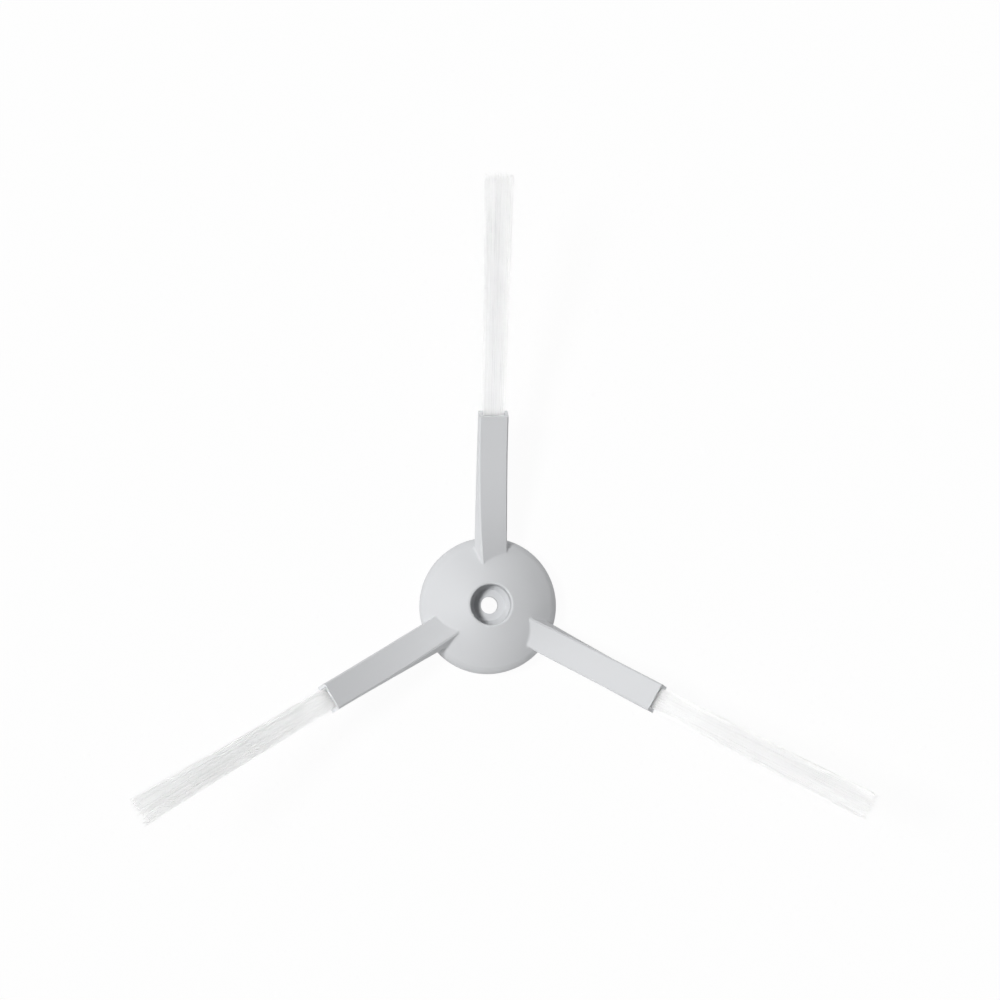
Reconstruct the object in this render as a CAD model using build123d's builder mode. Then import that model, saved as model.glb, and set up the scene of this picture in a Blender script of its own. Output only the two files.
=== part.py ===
import os
from math import asin, cos, radians, sin

from build123d import *

# Hub: a hollow domed cap on the spin axis, lengths in mm
HUB_D = 24.0
SKIRT_H = 4.0
DOME_RISE = 5.69
SHOULDER = 1.0
SHELL_T = 1.5
RIM_EDGE = 0.3

# Stepped screw hole down the middle
HEAD_D = 7.1
HEAD_DEPTH = 3.9
HEAD_LIP = 0.5
HEAD_FLOOR_EDGE = 0.8
SCREW_D = 3.0
WEB_T = 1.2

# Drive boss and ribs under the dome
SOCKET_W = 6.0
SOCKET_CORNER_R = 0.5
BOSS_WALL = 1.36
BOSS_SETBACK = 0.4
RIB_COUNT = 6
RIB_T = 1.0
RIB_SETBACK = 1.0

# Arms: flat tubes that bend up as they go out and untwist on the way, angles in degrees
ARM_COUNT = 3
ARM_W = 5.1
ARM_H = 2.7
ARM_EDGE = 0.25
ARM_SINK = 0.6
ARM_EXIT_INSET = 2.14
ARM_LEAD = 0.3
ARM_MOUTH_U = 33.0
PITCH_ROOT = 7.0
PITCH_MOUTH = 28.0
TWIST_ROOT = 31.0
TWIST_MOUTH = 1.5
TWIST_EASE = 2
ARM_SPANS = 5
ARM_FOOT_R = 0.45

# Blind pocket in each arm for the bristles
TUBE_WALL = 0.6
POCKET_DEPTH = 12.0
POCKET_SPANS = 4
TUFT_CLEARANCE = 0.06

# Bristle tuft: ridged along its length, wider at the free end
TUFT_FREE = 44.0
TUFT_TIP_W = 4.9
TUFT_TIP_H = 2.0
TUFT_LEAN = 0.7
RIDGE_DEPTH = 0.22
TUFT_SPANS = 2
STRAND_SHORT = (1.3, 0.4, 0.0, 0.8, 0.2, 1.1, 0.5, 1.8)
STRAND_SPLIT = (5.0, 8.5, 6.0, 10.0, 7.0, 9.0, 5.5)
STRAND_GAP = 0.12


def dome_height(r):
    """Height of the dome's outside, r mm from the spin axis."""
    return dome_z + (dome_r**2 - r**2) ** 0.5


def arm_pitch(u):
    """Slope in radians of the arm's middle line, u mm from the spin axis."""
    return asin(sin(radians(PITCH_ROOT)) + (u - arm_start_u) / bend_r)


def arm_rise(u):
    """Height that the arm's middle line has gained since its start, u mm from the spin axis."""
    return bend_r * (cos(radians(PITCH_ROOT)) - cos(arm_pitch(u)))


# Sizes that follow from those above
hub_r = HUB_D / 2
head_r = HEAD_D / 2
screw_r = SCREW_D / 2
boss_r = SOCKET_W / 2**0.5 + BOSS_WALL
crown_z = SKIRT_H + DOME_RISE
dome_r = (hub_r**2 + DOME_RISE**2) / (2 * DOME_RISE)
dome_z = crown_z - dome_r
lip_z = dome_height(head_r)
head_floor_z = lip_z - HEAD_DEPTH
web_under_z = head_floor_z - WEB_T
inner_r = hub_r - SHELL_T
inner_dome_r = dome_r - SHELL_T
inner_edge_z = dome_z + (inner_dome_r**2 - inner_r**2) ** 0.5
boss_top_z = dome_z + (inner_dome_r**2 - boss_r**2) ** 0.5
arm_start_u = boss_r - ARM_SINK
bend_r = (ARM_MOUTH_U - arm_start_u) / (sin(radians(PITCH_MOUTH)) - sin(radians(PITCH_ROOT)))
pocket_w = ARM_W - 2 * TUBE_WALL
pocket_h = ARM_H - 2 * TUBE_WALL
pocket_start_u = ARM_MOUTH_U - POCKET_DEPTH
root_w = pocket_w - 2 * TUFT_CLEARANCE
root_h = pocket_h - 2 * TUFT_CLEARANCE
ridge_count = len(STRAND_SHORT)
shoulder_r = hub_r - SHOULDER
lip_r = head_r + HEAD_LIP
exit_r = hub_r - ARM_EXIT_INSET
arm_start_z = dome_height(exit_r) - arm_rise(exit_r)


def arm_plane(u):
    """Cross-section plane of the arm along +Y, with its middle u mm from the spin axis."""
    pitch = arm_pitch(u)
    z = arm_start_z + arm_rise(u)
    share = (u - arm_start_u) / (ARM_MOUTH_U - arm_start_u)
    twist = radians(TWIST_MOUTH + (TWIST_ROOT - TWIST_MOUTH) * (1 - share) ** TWIST_EASE)
    across = (cos(twist), sin(twist) * sin(pitch), -sin(twist) * cos(pitch))
    aside = ARM_LEAD * (1 - share)
    return Plane(origin=(aside, u, z), x_dir=across, z_dir=(0, cos(pitch), sin(pitch)))


def ridged_outline(width, height):
    """Closed outline of a tuft's cross-section: ridges side by side on both broad faces."""
    steps = 2 * ridge_count
    xs = [width * (i / steps - 0.5) for i in range(steps + 1)]
    crest = height / 2
    valley = crest - RIDGE_DEPTH
    upper = [(x, crest if i % 2 else valley) for i, x in enumerate(xs)]
    lower = [(x, -y) for x, y in reversed(upper)]
    return upper + lower


def frayed_end():
    """Outline, in the plane of the tuft's broad face, of what is taken off its free end."""
    strand_w = TUFT_TIP_W / ridge_count
    left = -TUFT_TIP_W / 2 - TUFT_LEAN
    right = left + TUFT_TIP_W
    points = [(left - TUFT_TIP_H, TUFT_FREE - STRAND_SHORT[0])]
    for i, short in enumerate(STRAND_SHORT):
        near = left + i * strand_w
        far = near + strand_w
        end = TUFT_FREE - short
        if i:
            points.append((near + STRAND_GAP, end))
        if i < ridge_count - 1:
            points.append((far - STRAND_GAP, end))
            points.append((split_foot(far, i), TUFT_FREE - STRAND_SPLIT[i]))
    points.append((right + TUFT_TIP_H, TUFT_FREE - STRAND_SHORT[-1]))
    points.append((right + TUFT_TIP_H, TUFT_FREE + TUFT_TIP_H))
    points.append((left - TUFT_TIP_H, TUFT_FREE + TUFT_TIP_H))
    return points


def split_foot(across, i):
    """Where split i starts across the tuft, in line with the place across at the free end."""
    share = 1 - STRAND_SPLIT[i] / TUFT_FREE
    width = root_w + (TUFT_TIP_W - root_w) * share
    return (across + TUFT_LEAN) * width / TUFT_TIP_W - TUFT_LEAN * share


arm_stations = [
    arm_start_u + (ARM_MOUTH_U - arm_start_u) * i / ARM_SPANS for i in range(ARM_SPANS + 1)
]
pocket_stations = [
    pocket_start_u + POCKET_DEPTH * i / POCKET_SPANS for i in range(POCKET_SPANS + 1)
]
mouth_plane = arm_plane(ARM_MOUTH_U)
tuft_top = Plane(mouth_plane.origin, x_dir=mouth_plane.x_dir, z_dir=-mouth_plane.y_dir)

# One arm, solid, along +Y
with BuildPart() as arm:
    for station in arm_stations:
        with BuildSketch(arm_plane(station)) as section:
            Rectangle(ARM_W, ARM_H)
            chamfer(section.vertices().group_by(Axis.Y)[0], ARM_EDGE)
    loft()

# The pocket that takes the bristles, open at the mouth
with BuildPart() as pocket:
    for station in pocket_stations:
        with BuildSketch(arm_plane(station)):
            Rectangle(pocket_w, pocket_h)
    loft(ruled=True)

# The hub as a solid of revolution, with the stepped screw hole
with BuildPart() as hub:
    with BuildSketch(Plane.XZ) as hub_profile:
        with BuildLine():
            wall = Line((hub_r, 0), (hub_r, SKIRT_H - SHOULDER))
            shoulder = Bezier(wall @ 1, (hub_r, SKIRT_H), (shoulder_r, dome_height(shoulder_r)))
            dome = RadiusArc(shoulder @ 1, (lip_r, dome_height(lip_r)), -dome_r)
            lip = Bezier(dome @ 1, (head_r, lip_z), (head_r, lip_z - HEAD_LIP))
            recess = Line(lip @ 1, (head_r, head_floor_z))
            ledge = Line(recess @ 1, (screw_r, head_floor_z))
            hole = Line(ledge @ 1, (screw_r, 0))
            Line(hole @ 1, wall @ 0)
        make_face()
        chamfer(hub_profile.vertices().sort_by_distance((hub_r, 0))[0], RIM_EDGE)
        chamfer(
            hub_profile.vertices().sort_by_distance((head_r, head_floor_z))[0], HEAD_FLOOR_EDGE
        )
    revolve(axis=Axis.Z)

# The room under the dome, left open round the boss and between the ribs
with BuildPart() as cavity:
    with BuildSketch(Plane.XZ):
        with BuildLine():
            opening = Line((0, 0), (inner_r, 0))
            inside = Line(opening @ 1, (inner_r, inner_edge_z))
            vault = Line(inside @ 1, (boss_r, boss_top_z))
            boss_side = Line(vault @ 1, (boss_r, BOSS_SETBACK))
            boss_end = Line(boss_side @ 1, (0, BOSS_SETBACK))
            Line(boss_end @ 1, opening @ 0)
        make_face()
    revolve(axis=Axis.Z)
    with BuildSketch(Plane.XY.offset(RIB_SETBACK)):
        with PolarLocations(0, RIB_COUNT):
            Rectangle(RIB_T, hub_r, align=(Align.CENTER, Align.MIN))
    extrude(amount=crown_z, mode=Mode.SUBTRACT)

# The moulding: hub and arms in one, hollowed from below
with BuildPart() as brush_body:
    add(hub.part)
    with PolarLocations(0, ARM_COUNT):
        add(arm.part)
    feet = new_edges(hub.part, combined=brush_body.part).filter_by(
        lambda edge: Vector(edge.center().X, edge.center().Y).length < hub_r
    )
    fillet(feet, ARM_FOOT_R)
    add(cavity.part, mode=Mode.SUBTRACT)
    with BuildSketch(Plane.XY.offset(BOSS_SETBACK)):
        RectangleRounded(SOCKET_W, SOCKET_W, SOCKET_CORNER_R)
    extrude(amount=web_under_z - BOSS_SETBACK, mode=Mode.SUBTRACT)
    with PolarLocations(0, ARM_COUNT):
        add(pocket.part, mode=Mode.SUBTRACT)

brush_body.part.label = "brush_body"

# One tuft: its root follows the pocket, its free length runs straight on
with BuildPart() as tuft:
    for station in pocket_stations:
        with BuildSketch(arm_plane(station)):
            Polygon(*ridged_outline(root_w, root_h), align=None)
    for span in range(1, TUFT_SPANS + 1):
        share = span / TUFT_SPANS
        width = root_w + (TUFT_TIP_W - root_w) * share
        height = root_h + (TUFT_TIP_H - root_h) * share
        with BuildSketch(mouth_plane.offset(TUFT_FREE * share)):
            with Locations((-TUFT_LEAN * share, 0)):
                Polygon(*ridged_outline(width, height), align=None)
    loft(ruled=True)
    # The strands part near the end and stop at their own lengths
    with BuildSketch(tuft_top):
        with BuildLine():
            Polyline(*frayed_end(), close=True)
        make_face()
    extrude(amount=TUFT_TIP_H, both=True, mode=Mode.SUBTRACT)

os.makedirs("parts", exist_ok=True)
export_step(brush_body.part, "parts/brush_body.step")
for index in range(ARM_COUNT):
    name = f"bristle_tuft_{index + 1}"
    placed = tuft.part.rotate(Axis.Z, index * 360 / ARM_COUNT)
    placed.label = name
    export_step(placed, f"parts/{name}.step")
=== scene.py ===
# %% [markdown]
# # A side brush for a robot vacuum
# The real brush is one grey moulding, a domed hub with three twisted arms, and a flat tuft of
# white nylon filaments in the end of each arm. The moulding's shape is exact already, because it
# comes from the CAD model, so it only needs a finish. The tufts are plain ridged solids there,
# and here each one becomes a bundle of single filaments. The scene is in metres, in the frame of
# the CAD model.

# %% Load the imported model
from math import radians

import bpy
import numpy as np
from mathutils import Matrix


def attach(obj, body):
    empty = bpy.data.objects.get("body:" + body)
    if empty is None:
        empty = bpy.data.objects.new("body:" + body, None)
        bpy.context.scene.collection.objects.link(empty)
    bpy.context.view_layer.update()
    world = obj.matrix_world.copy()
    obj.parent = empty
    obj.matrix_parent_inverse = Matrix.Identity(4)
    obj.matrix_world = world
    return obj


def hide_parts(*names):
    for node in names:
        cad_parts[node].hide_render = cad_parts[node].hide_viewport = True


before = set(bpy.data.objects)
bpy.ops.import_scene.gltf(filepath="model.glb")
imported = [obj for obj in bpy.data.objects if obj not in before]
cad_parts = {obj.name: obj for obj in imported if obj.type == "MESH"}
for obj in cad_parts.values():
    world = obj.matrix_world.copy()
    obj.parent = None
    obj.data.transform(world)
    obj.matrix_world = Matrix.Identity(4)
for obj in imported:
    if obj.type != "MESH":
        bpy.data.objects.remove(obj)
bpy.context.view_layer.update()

MM = 0.001


print("CAD nodes:", sorted(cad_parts))

# %% [markdown]
# ## The camera
# The picture was taken from almost straight above with a long lens, so the hub's outline stays a
# circle and the arms, which rise towards the viewer, look only a little longer than they are. A
# lens of 160 mm on a 36 mm sensor does that from about 0.8 m. The two small turns are read from
# how far the hub's rim, its recess and its screw hole slide past each other in the picture.

# %% Place the camera
CAMERA_PLACE_MM = (-63.8, -30.6, 782.9)
CAMERA_TURNS_DEG = (3.602, -4.829, 0.0)


def add_object(name, data):
    """A new object that holds the data, linked into the scene."""
    made = bpy.data.objects.new(name, data)
    bpy.context.scene.collection.objects.link(made)
    return made


camera_data = bpy.data.cameras.new("camera")
camera_data.lens = 160.0
camera_data.sensor_width = 36.0
camera = add_object("camera", camera_data)
camera.location = [length * MM for length in CAMERA_PLACE_MM]
camera.rotation_euler = [radians(turn) for turn in CAMERA_TURNS_DEG]
bpy.context.scene.camera = camera
print("camera", round(camera.location.length, 3), "m from the origin")

# %% [markdown]
# ## One grain for both plastics
# Nothing moulded or drawn from nylon is one even colour. Its tone drifts a little over a few
# millimetres, and its skin has a grain of about a tenth of a millimetre, left by the mould or the
# die. Both materials need that, each in its own measure, so it is built once as a node group. The
# group only gives a colour, a roughness and a height; the shader itself stays in each material.

# %% Helpers for node trees
def grey(value):
    """An opaque colour with the same value in red, green and blue."""
    return (value, value, value, 1.0)


def add_node(tree, kind, label, **settings):
    """Adds a node of that kind to the tree, with its label and settings."""
    made = tree.nodes.new(kind)
    made.label = label
    for name, value in settings.items():
        setattr(made, name, value)
    return made


def add_math(tree, label, operation, first, second):
    """A Math node: first and second are sockets to link or plain numbers."""
    made = add_node(tree, "ShaderNodeMath", label, operation=operation)
    for socket, value in zip(made.inputs, (first, second)):
        if isinstance(value, (int, float)):
            socket.default_value = value
        else:
            tree.links.new(value, socket)
    return made.outputs[0]


# %% Build the grain group
GRAIN_INPUTS = (
    ("Color", "NodeSocketColor", grey(0.6)),
    ("Roughness", "NodeSocketFloat", 0.4),
    ("Drift Scale", "NodeSocketFloat", 90.0),
    ("Drift", "NodeSocketFloat", 0.03),
    ("Grain Scale", "NodeSocketFloat", 6000.0),
    ("Speckle", "NodeSocketFloat", 0.02),
    ("Roughness Spread", "NodeSocketFloat", 0.08),
)
GRAIN_OUTPUTS = (
    ("Color", "NodeSocketColor"),
    ("Roughness", "NodeSocketFloat"),
    ("Height", "NodeSocketFloat"),
)
grain = bpy.data.node_groups.new("moulded_grain", "ShaderNodeTree")
for name, kind, value in GRAIN_INPUTS:
    socket = grain.interface.new_socket(name, in_out="INPUT", socket_type=kind)
    socket.default_value = value
for name, kind in GRAIN_OUTPUTS:
    grain.interface.new_socket(name, in_out="OUTPUT", socket_type=kind)

entry = add_node(grain, "NodeGroupInput", "entry")
leave = add_node(grain, "NodeGroupOutput", "leave")
place = add_node(grain, "ShaderNodeTexCoord", "place on the piece")
drift = add_node(grain, "ShaderNodeTexNoise", "slow drift of tone")
speck = add_node(grain, "ShaderNodeTexNoise", "fine grain")
for texture, scale, detail in ((drift, "Drift Scale", 2.0), (speck, "Grain Scale", 3.0)):
    texture.inputs["Detail"].default_value = detail
    grain.links.new(place.outputs["Object"], texture.inputs["Vector"])
    grain.links.new(entry.outputs[scale], texture.inputs["Scale"])

# tone = 1 + drift * (slow - 0.5) + speckle * (fine - 0.5)
slow = add_math(grain, "slow about zero", "SUBTRACT", drift.outputs["Fac"], 0.5)
fine = add_math(grain, "fine about zero", "SUBTRACT", speck.outputs["Fac"], 0.5)
slow_part = add_math(grain, "share of drift", "MULTIPLY", slow, entry.outputs["Drift"])
fine_part = add_math(grain, "share of speckle", "MULTIPLY", fine, entry.outputs["Speckle"])
uneven = add_math(grain, "both together", "ADD", slow_part, fine_part)
tone = add_math(grain, "tone about one", "ADD", uneven, 1.0)
toned = add_node(
    grain, "ShaderNodeMix", "toned colour", data_type="RGBA", blend_type="MULTIPLY"
)
toned.inputs["Factor"].default_value = 1.0
grain.links.new(entry.outputs["Color"], toned.inputs["A"])
grain.links.new(tone, toned.inputs["B"])

# roughness = roughness + spread * (fine - 0.5 + slow - 0.5)
both = add_math(grain, "fine and slow", "ADD", fine, slow)
spread = entry.outputs["Roughness Spread"]
rough_part = add_math(grain, "share of spread", "MULTIPLY", both, spread)
rough = add_math(grain, "roughness", "ADD", entry.outputs["Roughness"], rough_part)
grain.links.new(toned.outputs["Result"], leave.inputs["Color"])
grain.links.new(rough, leave.inputs["Roughness"])
grain.links.new(speck.outputs["Fac"], leave.inputs["Height"])
print("grain group with", len(grain.nodes), "nodes")

# %% [markdown]
# ## The grey plastic of the moulding
# The hub and arms are ABS in a light, slightly cool grey. The skin is satin: light spreads over
# the dome in a broad soft gradient and no sharp highlight shows, which a roughness of about 0.65
# gives. The grain feeds a very shallow bump, so that a close view shows the fine texture of the
# mould.

# %% Finish the moulding
PLASTIC_IOR = 1.53
BUMP_STRENGTH = 0.35


def empty_material(name):
    """A new node material, its tree without nodes, and the output node added to it."""
    material = bpy.data.materials.new(name)
    material.use_nodes = True
    tree = material.node_tree
    tree.nodes.clear()
    return material, tree, add_node(tree, "ShaderNodeOutputMaterial", "output")


def plastic_material(name, bump_height, **grain_values):
    """A plastic: a Principled shader with the grain on its colour, roughness and normal.

    Gives the material, its tree, the shader and the placed grain group.
    """
    material, tree, out = empty_material(name)
    shader = add_node(tree, "ShaderNodeBsdfPrincipled", "surface")
    shader.inputs["IOR"].default_value = PLASTIC_IOR
    tree.links.new(shader.outputs["BSDF"], out.inputs["Surface"])
    group = add_node(tree, "ShaderNodeGroup", "grain", node_tree=grain)
    for socket_name, value in grain_values.items():
        group.inputs[socket_name.replace("_", " ")].default_value = value
    bump = add_node(tree, "ShaderNodeBump", "skin")
    bump.inputs["Strength"].default_value = BUMP_STRENGTH
    bump.inputs["Distance"].default_value = bump_height
    tree.links.new(group.outputs["Height"], bump.inputs["Height"])
    tree.links.new(group.outputs["Color"], shader.inputs["Base Color"])
    tree.links.new(group.outputs["Roughness"], shader.inputs["Roughness"])
    tree.links.new(bump.outputs["Normal"], shader.inputs["Normal"])
    return material, tree, shader, group


grey_plastic = plastic_material(
    "satin_grey_plastic", bump_height=0.01 * MM,
    Color=(0.605, 0.614, 0.628, 1.0), Roughness=0.64, Drift_Scale=70.0, Drift=0.035,
    Grain_Scale=7000.0, Speckle=0.03, Roughness_Spread=0.12,
)[0]
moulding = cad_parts["brush_body"]
moulding.data.materials.clear()
moulding.data.materials.append(grey_plastic)
print("moulding finished in", grey_plastic.name)

# %% [markdown]
# ## The line of one arm
# A filament starts deep in its arm and has to follow the pocket there before it runs free, so the
# arm's middle line is needed. It is an arc that climbs as it goes out: the sine of its slope grows
# evenly with the distance from the spin axis. The cross-section turns about that line too, more
# near the hub than at the mouth. The same few numbers as in the CAD source give both. Lengths here
# and in the tufts are in mm.

# %% Describe the arm
ARM_START_U, ARM_START_Z = 5.0026, 5.4014
ARM_LEAD = 0.3
MOUTH_U = 33.0
SLOPE_SINES = np.sin(np.radians((7.0, 28.0)))
TWISTS = np.radians((31.0, 1.5))
BEND_R = (MOUTH_U - ARM_START_U) / (SLOPE_SINES[1] - SLOPE_SINES[0])


def arm_frame(u):
    """Middle, across, up and along vectors of the arm on +Y, u mm from the spin axis (any array).

    The sine of the slope is linear in u, the height is the bend radius times the drop of the
    slope's cosine, and the twist dies away with the square of the share of the way that is left.
    """
    share = (u - ARM_START_U) / (MOUTH_U - ARM_START_U)
    sine = SLOPE_SINES[0] + (u - ARM_START_U) / BEND_R
    cosine = np.sqrt(1 - sine**2)
    twist = TWISTS[1] + (TWISTS[0] - TWISTS[1]) * (1 - share) ** 2
    height = ARM_START_Z + BEND_R * (np.sqrt(1 - SLOPE_SINES[0] ** 2) - cosine)
    middle = np.stack((ARM_LEAD * (1 - share), u, height), -1)
    along = np.stack((np.zeros_like(u), cosine, sine), -1)
    across = np.stack((np.cos(twist), np.sin(twist) * sine, -np.sin(twist) * cosine), -1)
    return middle, across, np.cross(across, along), along


mouth_middle = arm_frame(np.array(MOUTH_U))[0]
print("mouth of the first arm in mm:", mouth_middle.round(2))

# %% [markdown]
# ## A tuft of filaments
# A real tuft is a flat bundle of drawn nylon filaments, each a little over a tenth of a millimetre
# thick, pressed into the tube. It could be made with a hair system, but hair has no mesh to keep.
# Here every filament is a thin tube with five sides: a grid of rings, where one parameter runs
# along the filament and the other round it. All the filaments of a tuft are one array. They start
# packed in rows in the pocket, swell as they leave it, fan out a little and lean sideways towards
# the free end. Neighbours cling together in locks, and each filament has its own bow, length and
# tone.

# %% Lay out the bundle
COLUMNS, ROWS = 28, 3
LOCK_COLUMNS = 4
PLACE_JITTER = (0.006, 0.05)
SEED = 7
randoms = np.random.default_rng(SEED)


def bundle_places():
    """Places of the filaments in the tuft's cross-section, from -0.5 to 0.5, and each one's lock.

    Rows and columns of a grid, every second row shifted by half a step, with a jitter that is
    larger through the tuft than across it. Columns side by side form a lock.
    """
    column, row = (grid.ravel() for grid in np.meshgrid(np.arange(COLUMNS), np.arange(ROWS)))
    across = (column + 0.5 * (row % 2) + 0.25) / COLUMNS - 0.5
    through = (row + 0.5) / ROWS - 0.5
    places = np.stack((across, through), -1)
    places = places + randoms.normal(0, PLACE_JITTER, places.shape)
    return np.clip(places, -0.5, 0.5), column // LOCK_COLUMNS


places, locks = bundle_places()
print(len(places), "filaments in a tuft, in", locks.max() + 1, "locks")

# %% Work out the surface of a tuft
SIDES = 5
FILAMENT_R = 0.068
END_TAPER = 0.55
POCKET_D = 11.5
TUFT_REACH = 44.0
LENGTH_SPREAD = 0.55
POCKET_STEPS = np.array((-1.0, -0.5, 0.0))
FREE_STEPS = np.array((0.04, 0.2, 0.42, 0.64, 0.84, 0.99, 1.0))
ROOT_SIZE, TIP_SIZE = np.array((3.78, 1.38)), np.array((4.9, 2.0))
SWELL_SHARE = 0.3
LEAN = np.array((0.7, 0.0))
OWN_BOW, LOCK_BOW, BOW_POWER = (0.1, 0.12), 0.12, 1.6
WAVE, WAVE_TURN, WAVE_ONSET = 0.05, 6, 3
PHASES = (0, 6)


def tuft_rings(reach):
    """Ring points (filament, step, side, xyz) in mm of a tuft on +Y that reaches so far out.

    Middle line: the arm's line up to the mouth, then straight on, plus the filament's place times
    the tuft's width and height there, plus a lean, a bow and a wave that grow with the way out.
    The width swells at once past the mouth, then grows with the square of the way out. Ring: that
    point plus the radius times cosine across plus sine up.
    """
    count = len(places)
    length = reach - np.abs(randoms.normal(0, LENGTH_SPREAD, count))
    inside = np.broadcast_to(POCKET_D * POCKET_STEPS, (count, len(POCKET_STEPS)))
    way = np.concatenate((inside, length[:, None] * FREE_STEPS), 1)
    middle, across, up, along = arm_frame(MOUTH_U + np.minimum(way, 0))
    out = np.clip(way / TUFT_REACH, 0, None)[..., None]
    swell = np.minimum(out / FREE_STEPS[0], 1)
    growth = SWELL_SHARE * swell + (1 - SWELL_SHARE) * out**2
    size = ROOT_SIZE + (TIP_SIZE - ROOT_SIZE) * growth - 2 * FILAMENT_R
    bow = randoms.normal(0, OWN_BOW, (count, 2))
    bow = bow + randoms.normal(0, LOCK_BOW, (COLUMNS, 2))[locks]
    wave = WAVE * np.sin(WAVE_TURN * out + randoms.uniform(*PHASES, (count, 1, 2)))
    wave = wave * np.minimum(WAVE_ONSET * out, 1)
    offset = places[:, None] * size + bow[:, None] * out**BOW_POWER + wave - LEAN * out
    line = middle + along * np.maximum(way, 0)[..., None]
    line = line + across * offset[..., :1] + up * offset[..., 1:]
    radius = np.full(way.shape[1], FILAMENT_R)
    radius[-1] *= END_TAPER
    turn = 2 * np.pi * np.arange(SIDES) / SIDES + randoms.uniform(*PHASES, (count, 1, 1))
    turn = turn[..., None]
    ring = np.cos(turn) * across[:, :, None] + np.sin(turn) * up[:, :, None]
    return line[:, :, None] + radius[:, None, None] * ring, out


print("rings of one tuft:", tuft_rings(TUFT_REACH)[0].shape)

# %% Turn rings into a mesh
REACHES = (44.4, 43.4, 44.2)
ARM_STEP_DEG = 120.0
LOCK_TONE, OWN_TONE = 0.65, 0.35


def tuft_faces(count, steps):
    """Faces of the tubes: quads between neighbouring rings, and one cap on each end."""
    index = np.arange(count * steps * SIDES).reshape(count, steps, SIDES)
    beside = np.roll(index, -1, 2)
    quads = np.stack((index[:, :-1], index[:, 1:], beside[:, 1:], beside[:, :-1]), -1)
    caps = np.concatenate((index[:, 0], index[:, -1, ::-1]))
    return quads.reshape(-1, 4).tolist() + caps.tolist()


def make_tuft(number, reach):
    """A tuft as one mesh object, turned about Z to its arm, with its tone and way out stored.

    The tone of a filament is a share of its lock's random tone plus a share of its own.
    """
    rings, out = tuft_rings(reach)
    turn = radians(ARM_STEP_DEG * (number - 1))
    about_z = np.array(
        ((np.cos(turn), -np.sin(turn), 0), (np.sin(turn), np.cos(turn), 0), (0, 0, 1))
    )
    points = rings.reshape(-1, 3) @ about_z.T * MM
    mesh = bpy.data.meshes.new(f"nylon_tuft_{number}")
    mesh.from_pydata(points, [], tuft_faces(*rings.shape[:2]))
    mesh.polygons.foreach_set("use_smooth", np.ones(len(mesh.polygons), bool))
    tone = LOCK_TONE * randoms.uniform(0, 1, COLUMNS)[locks]
    tone = tone + OWN_TONE * randoms.uniform(0, 1, len(places))
    for name, values in (("strand_tone", tone[:, None, None]), ("way_out", out)):
        stored = mesh.attributes.new(name, "FLOAT", "POINT")
        per_point = np.broadcast_to(values, rings.shape[:3]).astype(np.float32)
        stored.data.foreach_set("value", per_point.ravel())
    mesh.update()
    tuft = add_object(f"nylon_tuft_{number}", mesh)
    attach(tuft, "root")
    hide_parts(f"bristle_tuft_{number}")
    return tuft


tufts = [make_tuft(number, reach) for number, reach in enumerate(REACHES, 1)]
print("faces in each tuft:", [len(tuft.data.polygons) for tuft in tufts])

# %% [markdown]
# ## The white nylon
# Drawn nylon is white and milky: light goes into a filament, scatters and comes out again on every
# side, so a tuft looks almost as pale as the table behind it. A high transmission with a high
# roughness does that. The stored tone makes some filaments a shade darker than their neighbours,
# which draws the fine lines along the tuft. Near the arm the colour is paler: a painted light that
# lifts the shade the tube casts on the filaments' roots. A lamp's light passes on through a
# filament in part, or the lower rows would lie in black shade.

# %% Finish the tufts
# The last grey is painted light near the arm, which lifts the shade the tube casts on the roots.
DARK_STRAND, PALE_STRAND, ROOT_PAINTED_LIGHT = grey(0.92), grey(0.985), grey(0.995)
PAINTED_LIGHT_POWER = 4.0
LET_THROUGH = 0.62
nylon, nylon_tree, nylon_shader, nylon_grain = plastic_material(
    "white_nylon_filament", bump_height=0.002 * MM,
    Roughness=0.9, Drift_Scale=160.0, Drift=0.02, Grain_Scale=9000.0, Speckle=0.02,
    Roughness_Spread=0.1,
)
nylon_shader.inputs["Transmission Weight"].default_value = 0.95


def stored_value(label, attribute):
    """The socket that gives a value stored on the tuft's points."""
    kind = "ShaderNodeAttribute"
    return add_node(nylon_tree, kind, label, attribute_name=attribute).outputs["Fac"]


shade = add_node(nylon_tree, "ShaderNodeMix", "shade of the filament", data_type="RGBA")
shade.inputs["A"].default_value = DARK_STRAND
shade.inputs["B"].default_value = PALE_STRAND
strand_tone = stored_value("tone of the filament", "strand_tone")
nylon_tree.links.new(strand_tone, shade.inputs["Factor"])

# painted light near the arm: its share = (1 - way out) to the fourth power, paler roots that lift
# the tube's shade
way_out = stored_value("way out from the arm", "way_out")
way_left = add_math(nylon_tree, "way left to the end", "SUBTRACT", 1.0, way_out)
painted_light_share = add_math(nylon_tree, "near the arm", "POWER", way_left, PAINTED_LIGHT_POWER)
painted_light_mix = add_node(nylon_tree, "ShaderNodeMix", "painted light near the arm", data_type="RGBA")
painted_light_mix.inputs["B"].default_value = ROOT_PAINTED_LIGHT
nylon_tree.links.new(painted_light_share, painted_light_mix.inputs["Factor"])
nylon_tree.links.new(shade.outputs["Result"], painted_light_mix.inputs["A"])
nylon_tree.links.new(painted_light_mix.outputs["Result"], nylon_grain.inputs["Color"])

# alpha = 1 - what a filament lets through, for rays that look for a lamp
is_shadow = add_node(nylon_tree, "ShaderNodeLightPath", "kind of ray").outputs["Is Shadow Ray"]
passed_on = add_math(nylon_tree, "light let through", "MULTIPLY", is_shadow, LET_THROUGH)
held_back = add_math(nylon_tree, "light held back", "SUBTRACT", 1.0, passed_on)
nylon_tree.links.new(held_back, nylon_shader.inputs["Alpha"])
for tuft in tufts:
    tuft.data.materials.append(nylon)
print("tufts finished in", nylon.name)

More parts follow.
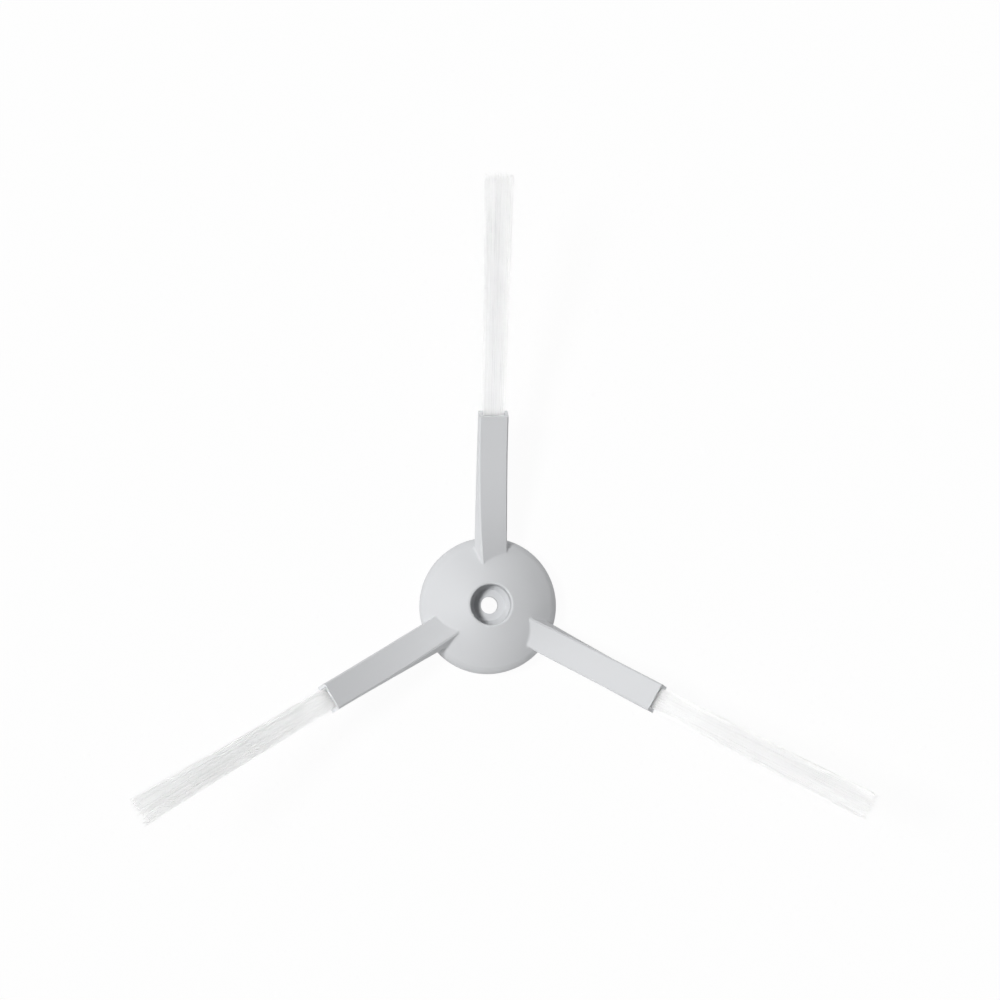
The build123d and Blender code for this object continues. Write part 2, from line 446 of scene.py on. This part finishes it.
# %% [markdown]
# ## A white table and a soft lamp from the side
# The picture has a white ground and one main light, from the left and two thirds of the way up. A
# sun lamp gives that direction. The shadow in the hub's recess is deep, so hardly any light comes
# from straight above: the rest comes from all round, as from the white walls of a photo tent with
# a dark lid. An even sky would be simpler, but it fills the recess. Together the two light an
# upward face at about full strength, so that a colour looks as it was written. The table shows as
# white to the camera, and a part of it stays plain paint, so that the brush still casts its
# shadow.

# %% Light the brush
WALL_LIGHT = 0.83
WALL_FADE = (0.45, 0.55)
sun_data = bpy.data.lights.new("key_light", "SUN")
sun_data.energy = 2.7
sun_data.angle = radians(12.0)
sun = add_object("key_light", sun_data)
sun.rotation_euler = (radians(-3.2), radians(-28.8), 0.0)


def seen_directly(tree):
    """A mask that is one for camera, glossy and transmission rays, and zero for the rest."""
    ray = add_node(tree, "ShaderNodeLightPath", "kind of ray").outputs
    mirror = add_math(
        tree, "camera or glossy", "MAXIMUM", ray["Is Camera Ray"], ray["Is Glossy Ray"]
    )
    return add_math(tree, "or transmission", "MAXIMUM", mirror, ray["Is Transmission Ray"])


world = bpy.data.worlds.new("white_room")
bpy.context.scene.world = world
world.use_nodes = True
sky_tree = world.node_tree
sky = sky_tree.nodes["Background"]
sky.inputs["Color"].default_value = grey(1.0)

# The walls fade into the lid where the direction's height, its z, passes the limits
direction = add_node(sky_tree, "ShaderNodeTexCoord", "direction")
parts = add_node(sky_tree, "ShaderNodeSeparateXYZ", "its parts")
walls = add_node(
    sky_tree, "ShaderNodeMapRange", "walls and lid", interpolation_type="SMOOTHSTEP"
)
limits = ("From Min", "From Max", "To Min", "To Max")
for name, value in zip(limits, (*WALL_FADE, WALL_LIGHT, 0.0)):
    walls.inputs[name].default_value = value
sky_tree.links.new(direction.outputs["Generated"], parts.inputs["Vector"])
sky_tree.links.new(parts.outputs["Z"], walls.inputs["Value"])
white_or_walls = add_math(
    sky_tree, "white, or walls", "MAXIMUM", seen_directly(sky_tree), walls.outputs["Result"]
)
sky_tree.links.new(white_or_walls, sky.inputs["Strength"])
print("sun", round(sun_data.energy, 2), "and walls", WALL_LIGHT)

# %% Lay the table
TABLE_HALF = 1.5
TABLE_DROP = 0.05 * MM
PAINT_GREY = grey(0.76)
WHITE_SHARE = 0.96
table_mesh = bpy.data.meshes.new("white_table")
corners = np.array(((-1, -1, 0), (1, -1, 0), (1, 1, 0), (-1, 1, 0))) * TABLE_HALF
table_mesh.from_pydata(corners - np.array((0, 0, TABLE_DROP)), [], [(0, 1, 2, 3)])
table = add_object("white_table", table_mesh)

paint, paint_tree, paint_out = empty_material("white_table_paint")
matt = add_node(paint_tree, "ShaderNodeBsdfDiffuse", "matt paint")
matt.inputs["Color"].default_value = PAINT_GREY
glow = add_node(paint_tree, "ShaderNodeEmission", "white ground")
blend = add_node(paint_tree, "ShaderNodeMixShader", "mostly white ground")
seen = seen_directly(paint_tree)
white_share = add_math(paint_tree, "share of white", "MULTIPLY", seen, WHITE_SHARE)
paint_tree.links.new(white_share, blend.inputs["Fac"])
paint_tree.links.new(matt.outputs["BSDF"], blend.inputs[1])
paint_tree.links.new(glow.outputs["Emission"], blend.inputs[2])
paint_tree.links.new(blend.outputs["Shader"], paint_out.inputs["Surface"])
table_mesh.materials.append(paint)
print("table", 2 * TABLE_HALF, "m wide")

# %% [markdown]
# ## The last settings
# The plain Standard view keeps colours as they are written.

# %% Finish
bpy.context.scene.view_settings.view_transform = "Standard"
